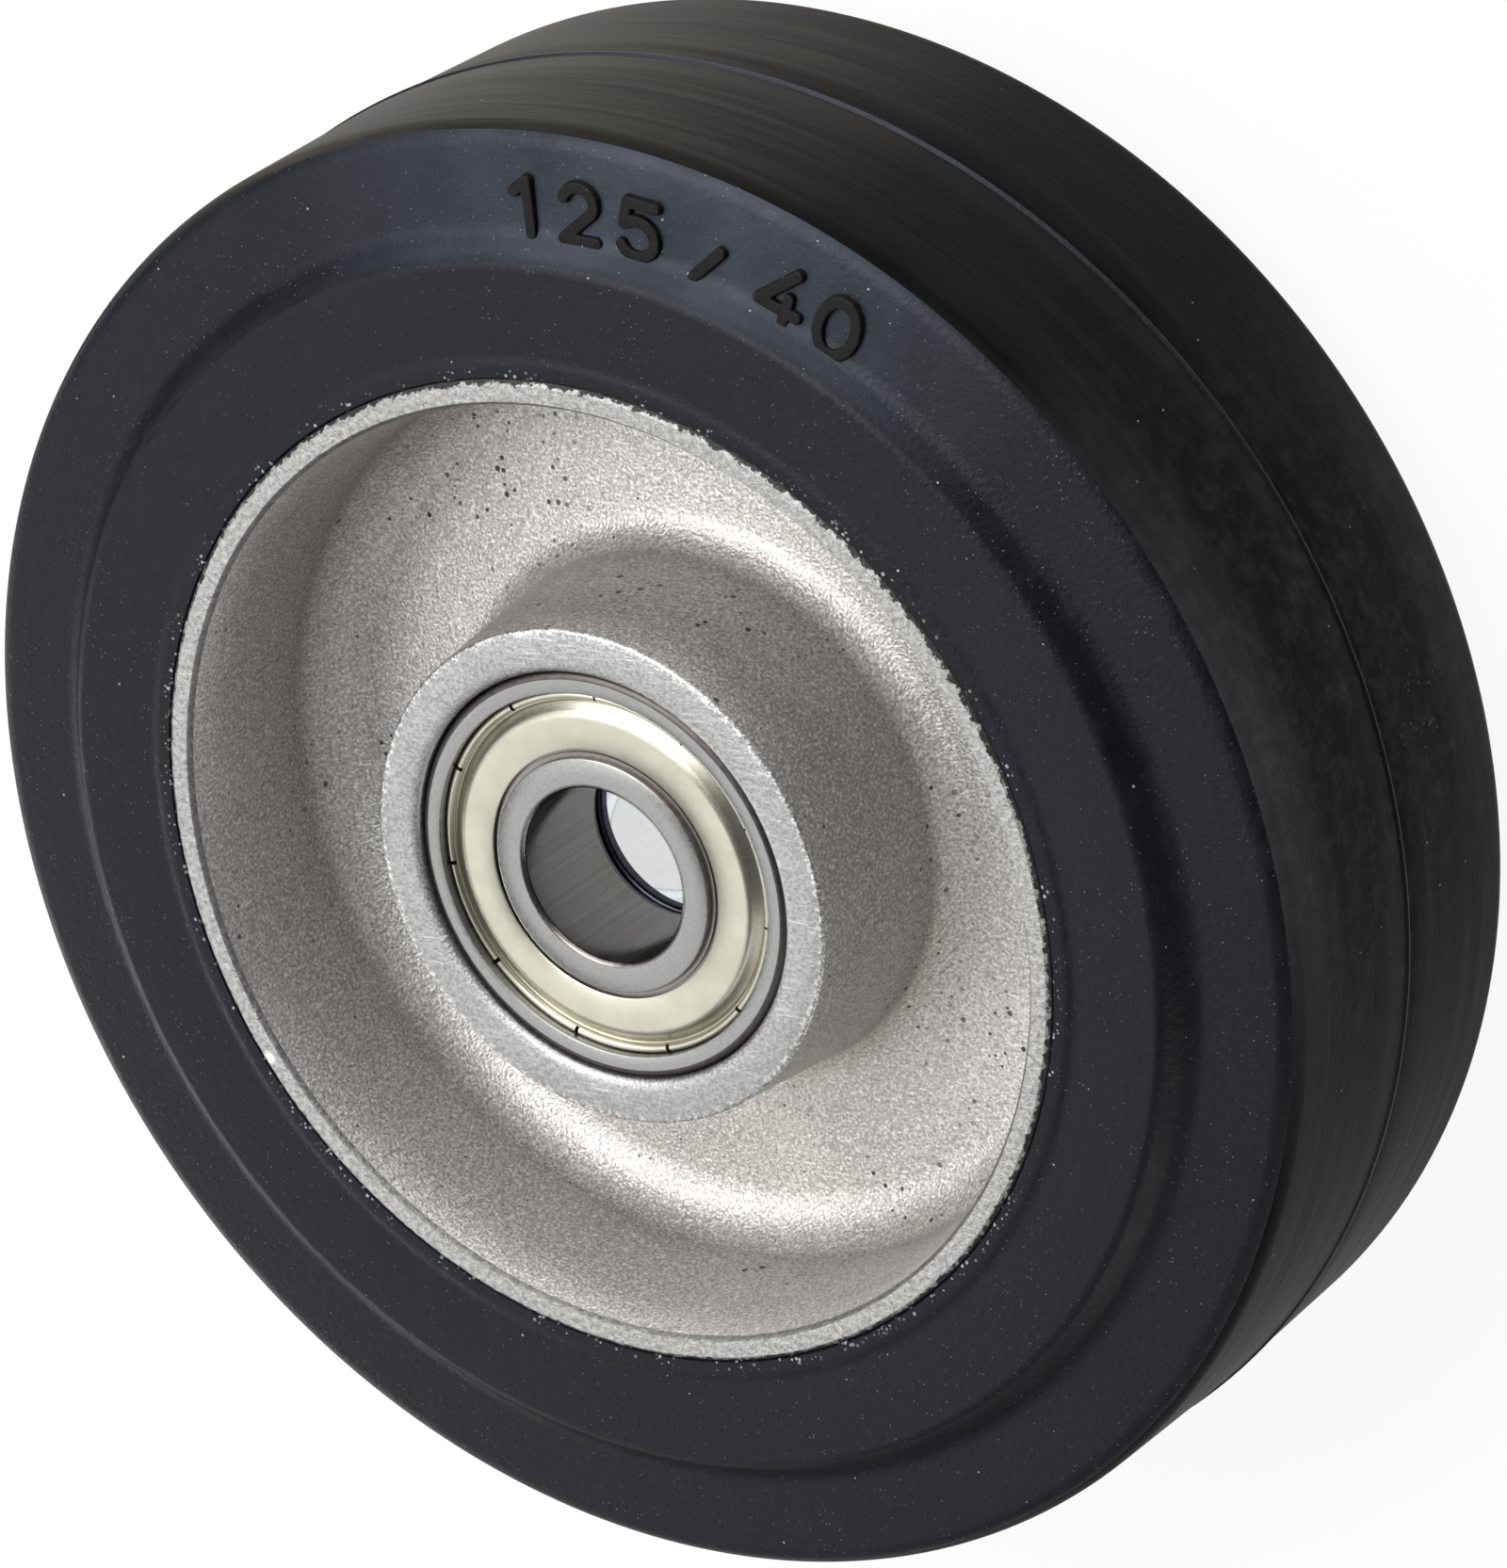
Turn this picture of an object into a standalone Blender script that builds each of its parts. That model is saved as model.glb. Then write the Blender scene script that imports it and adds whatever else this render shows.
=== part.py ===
# Rubber-tyred wheel, 125 mm across and 40 mm wide, with an aluminium centre and two shielded ball bearings.
# The wheel's axis is Z and the origin is at the middle of the wheel, so it lies flat on its rear side.
# Everything is in metres. The front half is drawn and the rear half mirrors it.

import math

import bmesh
import bpy
from mathutils import Matrix

MM = 0.001

# Rubber tyre
TYRE_DIAMETER = 125.0 * MM
RUBBER_THICKNESS = 20.5 * MM    # from the rim to the tread
TREAD_SET_BACK = 2.6 * MM       # how far the tread's shoulders lie below the rim's lip
TREAD_DRAFT = 0.3 * MM          # how much lower the tread is at its shoulders than at the parting line
SHOULDER_RADIUS = 2.0 * MM
FLASH_HEIGHT = 0.2 * MM         # the ridge that the two mould halves leave round the tread
FLASH_WIDTH = 0.7 * MM
SIDE_BEAD_WIDTH = 9.8 * MM      # the raised ring of rubber beside the rim
SIDE_BEAD_SET_BACK = 0.2 * MM   # how far the raised ring lies below the rim's lip
SIDE_BEAD_SLOPE = 0.1 * MM      # how much lower it is at its outer edge
SIDE_BEAD_CORNER = 1.2 * MM     # radius of the raised ring's outer edge
SIDE_FILLET_RADIUS = 2.3 * MM   # where the raised ring drops to the lower side wall
SIDE_STEP_LEAN = math.radians(57.0)  # of that drop, from flat
BOND_GAP = 0.3 * MM

# Cast wheel centre
RIM_WIDTH = 40.0 * MM
RIM_LIP_WIDTH = 2.1 * MM
RIM_CHAMFER = 0.3 * MM
RIM_WALL_DRAFT = 0.9 * MM
WEB_THICKNESS_AT_HUB = 5.4 * MM
WEB_THICKNESS_AT_RIM = 4.0 * MM
WEB_FILLET_RADIUS = 4.6 * MM
HUB_FACE_DIAMETER = 42.4 * MM
HUB_SET_BACK = 0.35 * MM        # how far the hub's face lies below the rim's lip
HUB_DRAFT = 2.2 * MM
HUB_EDGE_CHAMFER = 0.25 * MM
SEAT_MOUTH_CHAMFER = 0.3 * MM
SEAT_SHOULDER_HEIGHT = 2.6 * MM  # the ring between the two seats, which the outer rings rest on

# Deep groove ball bearing, 15 by 35 by 11
BEARING_BORE = 15.0 * MM
BEARING_OUTSIDE = 35.0 * MM
BEARING_WIDTH = 11.0 * MM
BEARING_RECESS = 0.5 * MM       # how far the bearing's face lies below the hub's face
RING_CORNER = 0.4 * MM
SEAT_GAP = 0.3 * MM             # between a pressed ring and its seat
BALL_DIAMETER = 5.953 * MM
BALL_COUNT = 8
BALL_CLEARANCE = 0.3 * MM
INNER_LAND_SHARE = 0.554        # of the ball's radius, from the pitch circle in to the inner ring's land
OUTER_LAND_SHARE = 0.605        # of the ball's radius, from the pitch circle out to the outer ring's land
SHIELD_SEAT_WALL = 1.9 * MM     # of the outer ring, outside the seat that the shield is rolled into
SHIELD_SEAT_DEPTH = 1.9 * MM
SHIELD_SEAT_CORNER = 0.2 * MM
LABYRINTH_STEP = 0.75 * MM      # the step in the inner ring's land that the shield reaches over
LABYRINTH_DEPTH = 1.0 * MM

# Pressed steel shield
SHEET = 0.3 * MM
SHIELD_SET_BACK = 0.35 * MM     # the flat ring of the shield, below the bearing's face
SHIELD_RUNNING_GAP = 0.65 * MM  # to the inner ring
SHIELD_SEAT_GAP = 0.3 * MM      # to the outer ring
SHIELD_GROOVE_DEPTH = 0.9 * MM
SHIELD_RIM_DROP = 0.3 * MM      # how far the rolled rim lies below the flat
SHIELD_FLAT_SHARE = 0.56        # of the way from the shield's inner edge to its rim
SHIELD_GROOVE_SHARES = (0.72, 0.86)
SHIELD_NOTCH_COUNT = 11
SHIELD_NOTCH_WIDTH = 0.35 * MM
SHIELD_NOTCH_LENGTH = 0.5 * MM

# Pressed steel cage, in two halves
CAGE_SHEET = 0.5 * MM
CAGE_WIDTH = 2.2 * MM
CAGE_CLEARANCE = 0.3 * MM
CAGE_JOINT_GAP = 0.3 * MM
CAGE_FOOT = 0.2 * MM            # from the side of a pocket to the flat between two pockets
RIVET_DIAMETER = 0.9 * MM
RIVET_HEAD_HEIGHT = 0.3 * MM
RIVET_END_GAP = 0.1 * MM        # from the rivet's shank to the other half of the cage

# Spacer sleeve between the two inner rings
SLEEVE_WALL = 1.9 * MM
SLEEVE_BORE_CLEARANCE = 0.15 * MM  # how much wider than the bearing's bore, all round
SLEEVE_CORNER = 0.4 * MM

OVERRUN = 1.0 * MM              # how far every cutter runs past what it cuts
MERGE = 0.0001 * MM

WHEEL_STEPS = 48
RING_STEPS = 26
SHIELD_STEPS = 22
INBOARD_SHIELD_STEPS = 18
SLEEVE_STEPS = 20
BALL_SEGMENTS = 8
BALL_RINGS = 6
RIVET_SIDES = 6
QUARTER_TURN = math.pi / 2
SIXTH_OF_HALF_TURN = math.pi / 6

# Sizes that follow from those above
tyre_radius = TYRE_DIAMETER / 2
rim_radius = tyre_radius - RUBBER_THICKNESS
half_rim = RIM_WIDTH / 2
half_tread = half_rim - TREAD_SET_BACK
half_hub = half_rim - HUB_SET_BACK
bore_radius = BEARING_BORE / 2
seat_radius = BEARING_OUTSIDE / 2
pitch_radius = (BEARING_BORE + BEARING_OUTSIDE) / 4
ball_radius = BALL_DIAMETER / 2
half_bearing = BEARING_WIDTH / 2
bearing_centre = half_hub - BEARING_RECESS - half_bearing
bearing_inner_face = bearing_centre - half_bearing
groove_radius = ball_radius + BALL_CLEARANCE
inner_land = pitch_radius - ball_radius * INNER_LAND_SHARE
outer_land = pitch_radius + ball_radius * OUTER_LAND_SHARE
labyrinth_radius = inner_land - LABYRINTH_STEP
shield_bore_radius = labyrinth_radius + SHIELD_RUNNING_GAP
shield_seat_radius = seat_radius - SHIELD_SEAT_WALL
shield_rim_radius = shield_seat_radius - SHIELD_SEAT_GAP


def clear_scene():
    for thing in list(bpy.data.objects):
        bpy.data.objects.remove(thing, do_unlink=True)


def make_collection(name, hidden=False):
    collection = bpy.data.collections.new(name)
    bpy.context.scene.collection.children.link(collection)
    collection.hide_render = hidden
    return collection


def make_material(name, colour, metallic, roughness):
    material = bpy.data.materials.new(name)
    material.use_nodes = True
    shader = material.node_tree.nodes["Principled BSDF"]
    shader.inputs["Base Color"].default_value = (*colour, 1.0)
    shader.inputs["Metallic"].default_value = metallic
    shader.inputs["Roughness"].default_value = roughness
    material.diffuse_color = (*colour, 1.0)
    return material


def arc(centre, radius, start, end, count):
    """Points of an arc in the profile plane, as (distance from the axis, height)."""
    turns = [start + (end - start) * step / (count - 1) for step in range(count)]
    return [(centre[0] + radius * math.cos(turn), centre[1] + radius * math.sin(turn)) for turn in turns]


def mirrored_down(points):
    """The same points below the middle plane, in the order that carries the outline on."""
    return [(distance, -height) for distance, height in reversed(points)]


def add_object(name, mesh, material, collection, parent=None):
    piece = bpy.data.objects.new(name, mesh)
    if material and not mesh.materials:
        mesh.materials.append(material)
    collection.objects.link(piece)
    piece.parent = parent
    return piece


def profile_mesh(name, points, closed=True):
    mesh = bpy.data.meshes.new(name)
    shape = bmesh.new()
    verts = [shape.verts.new((distance, 0.0, height)) for distance, height in points]
    for first, second in zip(verts, verts[1:]):
        shape.edges.new((first, second))
    if closed:
        shape.edges.new((verts[-1], verts[0]))
    shape.to_mesh(mesh)
    shape.free()
    return mesh


def turn_round_axis(piece, steps):
    screw = piece.modifiers.new("turned", "SCREW")
    screw.axis = "Z"
    screw.steps = steps
    screw.render_steps = steps
    screw.use_merge_vertices = True
    screw.merge_threshold = MERGE
    screw.use_smooth_shade = True


def turned_piece(name, points, steps, material, collection, parent=None):
    """A solid of revolution: a closed outline, clockwise seen with the axis on its left."""
    piece = add_object(name, profile_mesh(name, points), material, collection, parent)
    turn_round_axis(piece, steps)
    return piece


def make_tyre(material, collection):
    inner_radius = rim_radius + BOND_GAP
    bead_height = half_rim - SIDE_BEAD_SET_BACK
    bead_radius = inner_radius + SIDE_BEAD_WIDTH
    bead_edge_height = bead_height - SIDE_BEAD_SLOPE
    shoulder_crest = tyre_radius - FLASH_HEIGHT - TREAD_DRAFT
    room = bead_edge_height - half_tread - SIDE_BEAD_CORNER
    fillet_radius = min(SIDE_FILLET_RADIUS, room / (1.0 - math.cos(SIDE_STEP_LEAN)))
    wall_foot = bead_radius + fillet_radius
    front = [(inner_radius, bead_height)]
    corner_centre = (bead_radius - SIDE_BEAD_CORNER, bead_edge_height - SIDE_BEAD_CORNER)
    front += arc(corner_centre, SIDE_BEAD_CORNER, QUARTER_TURN, QUARTER_TURN - SIDE_STEP_LEAN, 3)
    foot_centre = (wall_foot, half_tread + fillet_radius)
    front += arc(foot_centre, fillet_radius, 3 * QUARTER_TURN - SIDE_STEP_LEAN, 3 * QUARTER_TURN, 3)
    shoulder_centre = (shoulder_crest - SHOULDER_RADIUS, half_tread - SHOULDER_RADIUS)
    front += arc(shoulder_centre, SHOULDER_RADIUS, QUARTER_TURN, 0.0, 4)
    front.append((tyre_radius - FLASH_HEIGHT, FLASH_WIDTH / 2))
    outline = [*front, (tyre_radius, 0.0), *mirrored_down(front)]
    return turned_piece("rubber_tyre", outline, WHEEL_STEPS, material, collection)


def web_outline():
    """The front face of the web with its two fillets, from the hub's side out to the rim's wall."""
    hub_foot = HUB_FACE_DIAMETER / 2 + HUB_DRAFT
    rim_foot = rim_radius - RIM_LIP_WIDTH - RIM_WALL_DRAFT
    fillet = min(WEB_FILLET_RADIUS, (rim_foot - hub_foot) / 2 - OVERRUN)
    hub_web, rim_web = WEB_THICKNESS_AT_HUB / 2, WEB_THICKNESS_AT_RIM / 2
    hub_fillet = arc((hub_foot + fillet, hub_web + fillet), fillet, math.pi, 1.5 * math.pi, 4)
    rim_fillet = arc((rim_foot - fillet, rim_web + fillet), fillet, 1.5 * math.pi, 2 * math.pi, 4)
    return hub_fillet + rim_fillet


def make_wheel_centre(material, collection):
    hub_radius = HUB_FACE_DIAMETER / 2
    seat_end = bearing_inner_face - SEAT_GAP
    shoulder_radius = seat_radius - SEAT_SHOULDER_HEIGHT
    lip = [(rim_radius - RIM_LIP_WIDTH + RIM_CHAMFER, half_rim), (rim_radius - RIM_CHAMFER, half_rim)]
    lip.append((rim_radius, half_rim - RIM_CHAMFER))
    inside = [(shoulder_radius, seat_end), (seat_radius, seat_end)]
    inside += [(seat_radius, half_hub - SEAT_MOUTH_CHAMFER), (seat_radius + SEAT_MOUTH_CHAMFER, half_hub)]
    inside += [(hub_radius - HUB_EDGE_CHAMFER, half_hub), (hub_radius, half_hub - HUB_EDGE_CHAMFER)]
    inside += web_outline()
    inside.append((rim_radius - RIM_LIP_WIDTH, half_rim - RIM_CHAMFER))
    outline = [*lip, *mirrored_down(lip), *mirrored_down(inside), *inside]
    return turned_piece("wheel_centre", outline, WHEEL_STEPS, material, collection)


def make_spacer_sleeve(material, collection):
    half_length = bearing_inner_face - SEAT_GAP
    inner_radius = bore_radius + SLEEVE_BORE_CLEARANCE
    outer_radius = inner_radius + SLEEVE_WALL
    front = [(inner_radius + SLEEVE_CORNER, half_length), (outer_radius - SLEEVE_CORNER, half_length)]
    front.append((outer_radius, half_length - SLEEVE_CORNER))
    rear = mirrored_down(front)
    bore = [(inner_radius, SLEEVE_CORNER - half_length), (inner_radius, half_length - SLEEVE_CORNER)]
    return turned_piece("spacer_sleeve", front + rear + bore, SLEEVE_STEPS, material, collection)


def race_arc(land_radius, outward):
    """Points of the ball groove, from the front land to the rear land."""
    reach = math.acos(abs(land_radius - pitch_radius) / groove_radius)
    middle = 0.0 if outward else math.pi
    start, end = (middle + reach, middle - reach) if outward else (middle - reach, middle + reach)
    return arc((pitch_radius, 0.0), groove_radius, start, end, 5)


def make_outer_ring(name, material, collection, parent):
    outside = seat_radius - SEAT_GAP
    seat_floor = half_bearing - SHIELD_SEAT_DEPTH
    front = [(outer_land, seat_floor), (shield_seat_radius, seat_floor)]
    front += [(shield_seat_radius, half_bearing - SHIELD_SEAT_CORNER)]
    front += [(shield_seat_radius + SHIELD_SEAT_CORNER, half_bearing), (outside - RING_CORNER, half_bearing)]
    front.append((outside, half_bearing - RING_CORNER))
    groove = race_arc(outer_land, outward=True)
    groove.reverse()
    outline = [*front, *mirrored_down(front), *groove]
    return turned_piece(name, outline, RING_STEPS, material, collection, parent)


def make_inner_ring(name, material, collection, parent):
    front = [(bore_radius, half_bearing - RING_CORNER), (bore_radius + RING_CORNER, half_bearing)]
    front += [(labyrinth_radius, half_bearing), (labyrinth_radius, half_bearing - LABYRINTH_DEPTH)]
    front.append((inner_land, half_bearing - LABYRINTH_DEPTH))
    outline = [*front, *race_arc(inner_land, outward=False), *mirrored_down(front)]
    return turned_piece(name, outline, RING_STEPS, material, collection, parent)


def make_ball(number, prefix, mesh, material, collection, parent):
    ball = add_object(f"{prefix}_ball_{number + 1}", mesh, material, collection, parent)
    turn = 2 * math.pi * number / BALL_COUNT
    ball.location = (pitch_radius * math.cos(turn), pitch_radius * math.sin(turn), 0.0)
    ball.rotation_euler.z = turn
    return ball


def ball_mesh():
    mesh = bpy.data.meshes.new("ball")
    shape = bmesh.new()
    bmesh.ops.create_uvsphere(shape, u_segments=BALL_SEGMENTS, v_segments=BALL_RINGS, radius=ball_radius)
    shape.to_mesh(mesh)
    shape.free()
    mesh.shade_smooth()
    return mesh


def shield_outline():
    """The middle of the shield's sheet, from its inner edge out to its rolled rim."""
    width = shield_rim_radius - shield_bore_radius
    flat = half_bearing - SHIELD_SET_BACK - SHEET / 2
    groove = flat - SHIELD_GROOVE_DEPTH
    points = [(shield_bore_radius, flat), (shield_bore_radius + width * SHIELD_FLAT_SHARE, flat)]
    points += [(shield_bore_radius + width * share, groove) for share in SHIELD_GROOVE_SHARES]
    points.append((shield_rim_radius, flat - SHIELD_RIM_DROP))
    return points


def make_shield(name, facing, steps, material, collection, parent):
    """Facing is 1 for the shield on the wheel's outside and -1 for the one inside the hub."""
    points = [(distance, facing * height) for distance, height in shield_outline()]
    shield = add_object(name, profile_mesh(name, points, closed=False), material, collection, parent)
    turn_round_axis(shield, steps)
    solidify = shield.modifiers.new("sheet", "SOLIDIFY")
    solidify.thickness = SHEET
    solidify.offset = 0.0
    solidify.use_even_offset = True
    return shield


def notch_cutters(collection, parent):
    """Small blocks that cut the slots through the shield's rolled rim."""
    mesh = bpy.data.meshes.new("shield_notch_cutters")
    shape = bmesh.new()
    length = SHIELD_NOTCH_LENGTH + OVERRUN
    height = SHEET + SHIELD_RIM_DROP + OVERRUN
    for number in range(SHIELD_NOTCH_COUNT):
        turn = Matrix.Rotation(2 * math.pi * (number + 0.5) / SHIELD_NOTCH_COUNT, 4, "Z")
        middle = shield_rim_radius - SHIELD_NOTCH_LENGTH + length / 2
        place = Matrix.Translation((middle, 0.0, half_bearing - SHIELD_SET_BACK))
        size = Matrix.Diagonal((length, SHIELD_NOTCH_WIDTH, 2 * height, 1.0))
        bmesh.ops.create_cube(shape, size=1.0, matrix=turn @ place @ size)
    shape.to_mesh(mesh)
    shape.free()
    cutters = add_object("shield_notch_cutters", mesh, None, collection, parent)
    cutters.hide_render = True
    cutters.display_type = "WIRE"
    return cutters


def cage_path(side):
    """The middle line of one half of the cage: a flat between two balls, then an arch over each ball."""
    flat = (CAGE_JOINT_GAP + CAGE_SHEET) / 2
    pocket = ball_radius + CAGE_CLEARANCE + CAGE_SHEET / 2
    arch = arc((0.0, 0.0), pocket, 5 * SIXTH_OF_HALF_TURN, SIXTH_OF_HALF_TURN, 5)
    section = [(-pocket - CAGE_FOOT, flat), *arch, (pocket + CAGE_FOOT, flat)]
    points = []
    for number in range(BALL_COUNT):
        for along, height in section:
            turn = 2 * math.pi * number / BALL_COUNT + along / pitch_radius
            points.append((pitch_radius * math.cos(turn), pitch_radius * math.sin(turn), side * height))
    return points


def curve_from_points(name, points, dimensions):
    curve = bpy.data.curves.new(name, "CURVE")
    curve.dimensions = dimensions
    spline = curve.splines.new("POLY")
    spline.points.add(len(points) - 1)
    for point, place in zip(spline.points, points):
        point.co = (*place, 1.0)
    spline.use_cyclic_u = True
    return curve


def mesh_from_curve(curve_object, name):
    """The mesh of a curve, so that a Boolean can work on it. The curve is removed."""
    bpy.context.view_layer.update()
    graph = bpy.context.evaluated_depsgraph_get()
    mesh = bpy.data.meshes.new_from_object(curve_object.evaluated_get(graph))
    mesh.name = name
    shape = bmesh.new()
    shape.from_mesh(mesh)
    bmesh.ops.remove_doubles(shape, verts=shape.verts, dist=MERGE)
    bmesh.ops.recalc_face_normals(shape, faces=shape.faces)
    shape.to_mesh(mesh)
    shape.free()
    bpy.data.objects.remove(curve_object, do_unlink=True)
    return mesh


def ribbon_mesh(name, side, collection):
    section_points = [(-CAGE_WIDTH / 2, -CAGE_SHEET / 2), (CAGE_WIDTH / 2, -CAGE_SHEET / 2)]
    section_points += [(CAGE_WIDTH / 2, CAGE_SHEET / 2), (-CAGE_WIDTH / 2, CAGE_SHEET / 2)]
    flat_points = [(across, up, 0.0) for across, up in section_points]
    section = bpy.data.objects.new(f"{name}_section", curve_from_points(f"{name}_section", flat_points, "2D"))
    collection.objects.link(section)
    path = curve_from_points(f"{name}_path", cage_path(side), "3D")
    path.twist_mode = "Z_UP"
    path.bevel_mode = "OBJECT"
    path.bevel_object = section
    ribbon = bpy.data.objects.new(f"{name}_path", path)
    collection.objects.link(ribbon)
    mesh = mesh_from_curve(ribbon, name)
    bpy.data.objects.remove(section, do_unlink=True)
    return mesh


def rivets(name, collection, parent):
    """One rivet in each flat of the cage, with its head outside and its shank down to the other half."""
    mesh = bpy.data.meshes.new(name)
    shape = bmesh.new()
    top = CAGE_JOINT_GAP / 2 + CAGE_SHEET + RIVET_HEAD_HEIGHT
    bottom = RIVET_END_GAP - CAGE_JOINT_GAP / 2
    for number in range(BALL_COUNT):
        turn = Matrix.Rotation(2 * math.pi * (number + 0.5) / BALL_COUNT, 4, "Z")
        place = Matrix.Translation((pitch_radius, 0.0, (top + bottom) / 2))
        bmesh.ops.create_cone(
            shape, cap_ends=True, segments=RIVET_SIDES, radius1=RIVET_DIAMETER / 2,
            radius2=RIVET_DIAMETER / 2, depth=top - bottom, matrix=turn @ place,
        )
    shape.to_mesh(mesh)
    shape.free()
    pins = add_object(name, mesh, None, collection, parent)
    pins.hide_render = True
    pins.display_type = "WIRE"
    return pins


def make_cage(prefix, material, collection, helpers, parent):
    outboard_name, inboard_name = f"{prefix}_cage_outboard_half", f"{prefix}_cage_inboard_half"
    outboard = add_object(outboard_name, ribbon_mesh(outboard_name, 1, helpers), material, collection, parent)
    riveted = outboard.modifiers.new("rivets", "BOOLEAN")
    riveted.operation = "UNION"
    riveted.object = rivets(f"{prefix}_rivets", helpers, parent)
    add_object(inboard_name, ribbon_mesh(inboard_name, -1, helpers), material, collection, parent)


def make_bearing(prefix, materials, collection, helpers, balls):
    """A bearing round its own middle, with its outboard side up, under an empty on the wheel's axis."""
    middle = bpy.data.objects.new(f"{prefix}_bearing_middle", None)
    collection.objects.link(middle)
    make_outer_ring(f"{prefix}_outer_ring", materials["ring"], collection, middle)
    make_inner_ring(f"{prefix}_inner_ring", materials["ring"], collection, middle)
    sheet = materials["shield"]
    outboard = make_shield(f"{prefix}_outboard_shield", 1, SHIELD_STEPS, sheet, collection, middle)
    notches = outboard.modifiers.new("notches", "BOOLEAN")
    notches.operation = "DIFFERENCE"
    notches.object = notch_cutters(helpers, middle)
    make_shield(f"{prefix}_inboard_shield", -1, INBOARD_SHIELD_STEPS, sheet, collection, middle)
    make_cage(prefix, materials["cage"], collection, helpers, middle)
    for number in range(BALL_COUNT):
        make_ball(number, prefix, balls, materials["ball"], collection, middle)
    return middle


def build():
    clear_scene()
    wheel = make_collection("rubber_wheel")
    helpers = make_collection("cutters", hidden=True)
    rubber = make_material("black rubber", (0.022, 0.024, 0.028), 0.0, 0.55)
    aluminium = make_material("cast aluminium", (0.42, 0.40, 0.38), 1.0, 0.5)
    materials = {
        "ring": make_material("ground bearing steel", (0.45, 0.46, 0.48), 1.0, 0.3),
        "shield": make_material("yellow passivated zinc", (0.62, 0.60, 0.48), 1.0, 0.35),
        "cage": make_material("pressed steel", (0.40, 0.40, 0.40), 1.0, 0.4),
        "ball": make_material("polished steel", (0.60, 0.60, 0.62), 1.0, 0.1),
    }
    sleeve_finish = make_material("bright zinc plate", (0.62, 0.64, 0.66), 1.0, 0.3)
    make_tyre(rubber, wheel)
    make_wheel_centre(aluminium, wheel)
    make_spacer_sleeve(sleeve_finish, wheel)
    balls = ball_mesh()
    front = make_bearing("front", materials, wheel, helpers, balls)
    front.location.z = bearing_centre
    rear = make_bearing("rear", materials, wheel, helpers, balls)
    rear.rotation_euler.x = math.pi
    rear.location.z = -bearing_centre


build()
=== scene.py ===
import math

import bpy
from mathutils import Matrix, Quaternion, Vector


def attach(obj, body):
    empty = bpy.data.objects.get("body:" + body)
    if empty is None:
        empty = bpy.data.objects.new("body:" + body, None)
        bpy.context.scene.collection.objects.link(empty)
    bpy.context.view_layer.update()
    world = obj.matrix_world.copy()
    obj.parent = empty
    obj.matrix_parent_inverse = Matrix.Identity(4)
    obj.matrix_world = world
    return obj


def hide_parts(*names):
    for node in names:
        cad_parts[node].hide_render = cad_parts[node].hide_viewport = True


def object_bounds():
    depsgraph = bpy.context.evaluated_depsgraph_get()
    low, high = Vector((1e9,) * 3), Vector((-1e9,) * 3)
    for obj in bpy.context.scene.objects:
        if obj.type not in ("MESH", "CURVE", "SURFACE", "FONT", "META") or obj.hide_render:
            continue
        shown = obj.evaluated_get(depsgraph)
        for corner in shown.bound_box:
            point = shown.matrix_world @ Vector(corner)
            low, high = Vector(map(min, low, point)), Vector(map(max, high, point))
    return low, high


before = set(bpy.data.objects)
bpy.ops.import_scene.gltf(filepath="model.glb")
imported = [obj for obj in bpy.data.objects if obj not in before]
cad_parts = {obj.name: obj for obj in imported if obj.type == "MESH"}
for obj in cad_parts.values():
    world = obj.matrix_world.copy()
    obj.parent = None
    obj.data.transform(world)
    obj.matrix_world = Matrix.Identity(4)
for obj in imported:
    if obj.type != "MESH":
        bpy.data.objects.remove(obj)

mm = 0.001
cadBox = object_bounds()
bpy.context.scene.view_settings.view_transform = "Standard"


def say(stage):
    print("wheel:", stage, flush=True)


# Starts straight above the hub with the photo's top along +Y, then tips towards the size mark's right.
view = {
    "tip": 40.88,               # degrees from straight above
    "tipAxis": 124.226,         # where the line it tips about points, degrees from +X
    "aside": 1.70 * mm,         # how far the hub lies left of the middle of the picture
    "below": 0.32 * mm,
    "distance": 661.7 * mm,
    "lens": 187.05,
    "sensor": 36.0,
}


def placeCamera():
    data = bpy.data.cameras.new("camera")
    data.lens = view["lens"]
    data.sensor_width = view["sensor"]
    data.clip_start = 0.01
    camera = bpy.data.objects.new("camera", data)
    bpy.context.scene.collection.objects.link(camera)
    axis = Vector((math.cos(math.radians(view["tipAxis"])), math.sin(math.radians(view["tipAxis"])), 0))
    turn = Quaternion(axis, math.radians(view["tip"]))
    camera.rotation_mode = "QUATERNION"
    camera.rotation_quaternion = turn
    camera.location = turn @ Vector((view["aside"], view["below"], view["distance"]))
    bpy.context.scene.camera = camera


placeCamera()
say("camera")


# Material helpers
def fromHex(code):
    def linear(part):
        return part / 12.92 if part <= 0.04045 else ((part + 0.055) / 1.055) ** 2.4
    parts = [int(code[place:place + 2], 16) / 255 for place in (1, 3, 5)]
    return (*[linear(part) for part in parts], 1.0)


def addNode(tree, kind, links=None, values=None, **settings):
    node = tree.nodes.new(kind)
    for name, setting in settings.items():
        setattr(node, name, setting)
    for socket, value in (values or {}).items():
        node.inputs[socket].default_value = value
    for socket, source in (links or {}).items():
        tree.links.new(source, node.inputs[socket])
    return node


def newMaterial(name):
    material = bpy.data.materials.new(name)
    material.use_nodes = True
    tree = material.node_tree
    shader = tree.nodes["Principled BSDF"]
    place = addNode(tree, "ShaderNodeTexCoord").outputs["Object"]
    return material, tree, shader, place


def grain(tree, place, size, detail=2.0, roughness=0.5, distortion=0.0):
    # noise whose lumps are about size across
    wanted = {"Scale": 1 / size, "Detail": detail, "Roughness": roughness, "Distortion": distortion}
    return addNode(tree, "ShaderNodeTexNoise", {"Vector": place}, wanted).outputs["Fac"]


def remap(tree, source, low, high, toLow=0.0, toHigh=1.0):
    wanted = {"From Min": low, "From Max": high, "To Min": toLow, "To Max": toHigh}
    return addNode(tree, "ShaderNodeMapRange", {"Value": source}, wanted).outputs["Result"]


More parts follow.
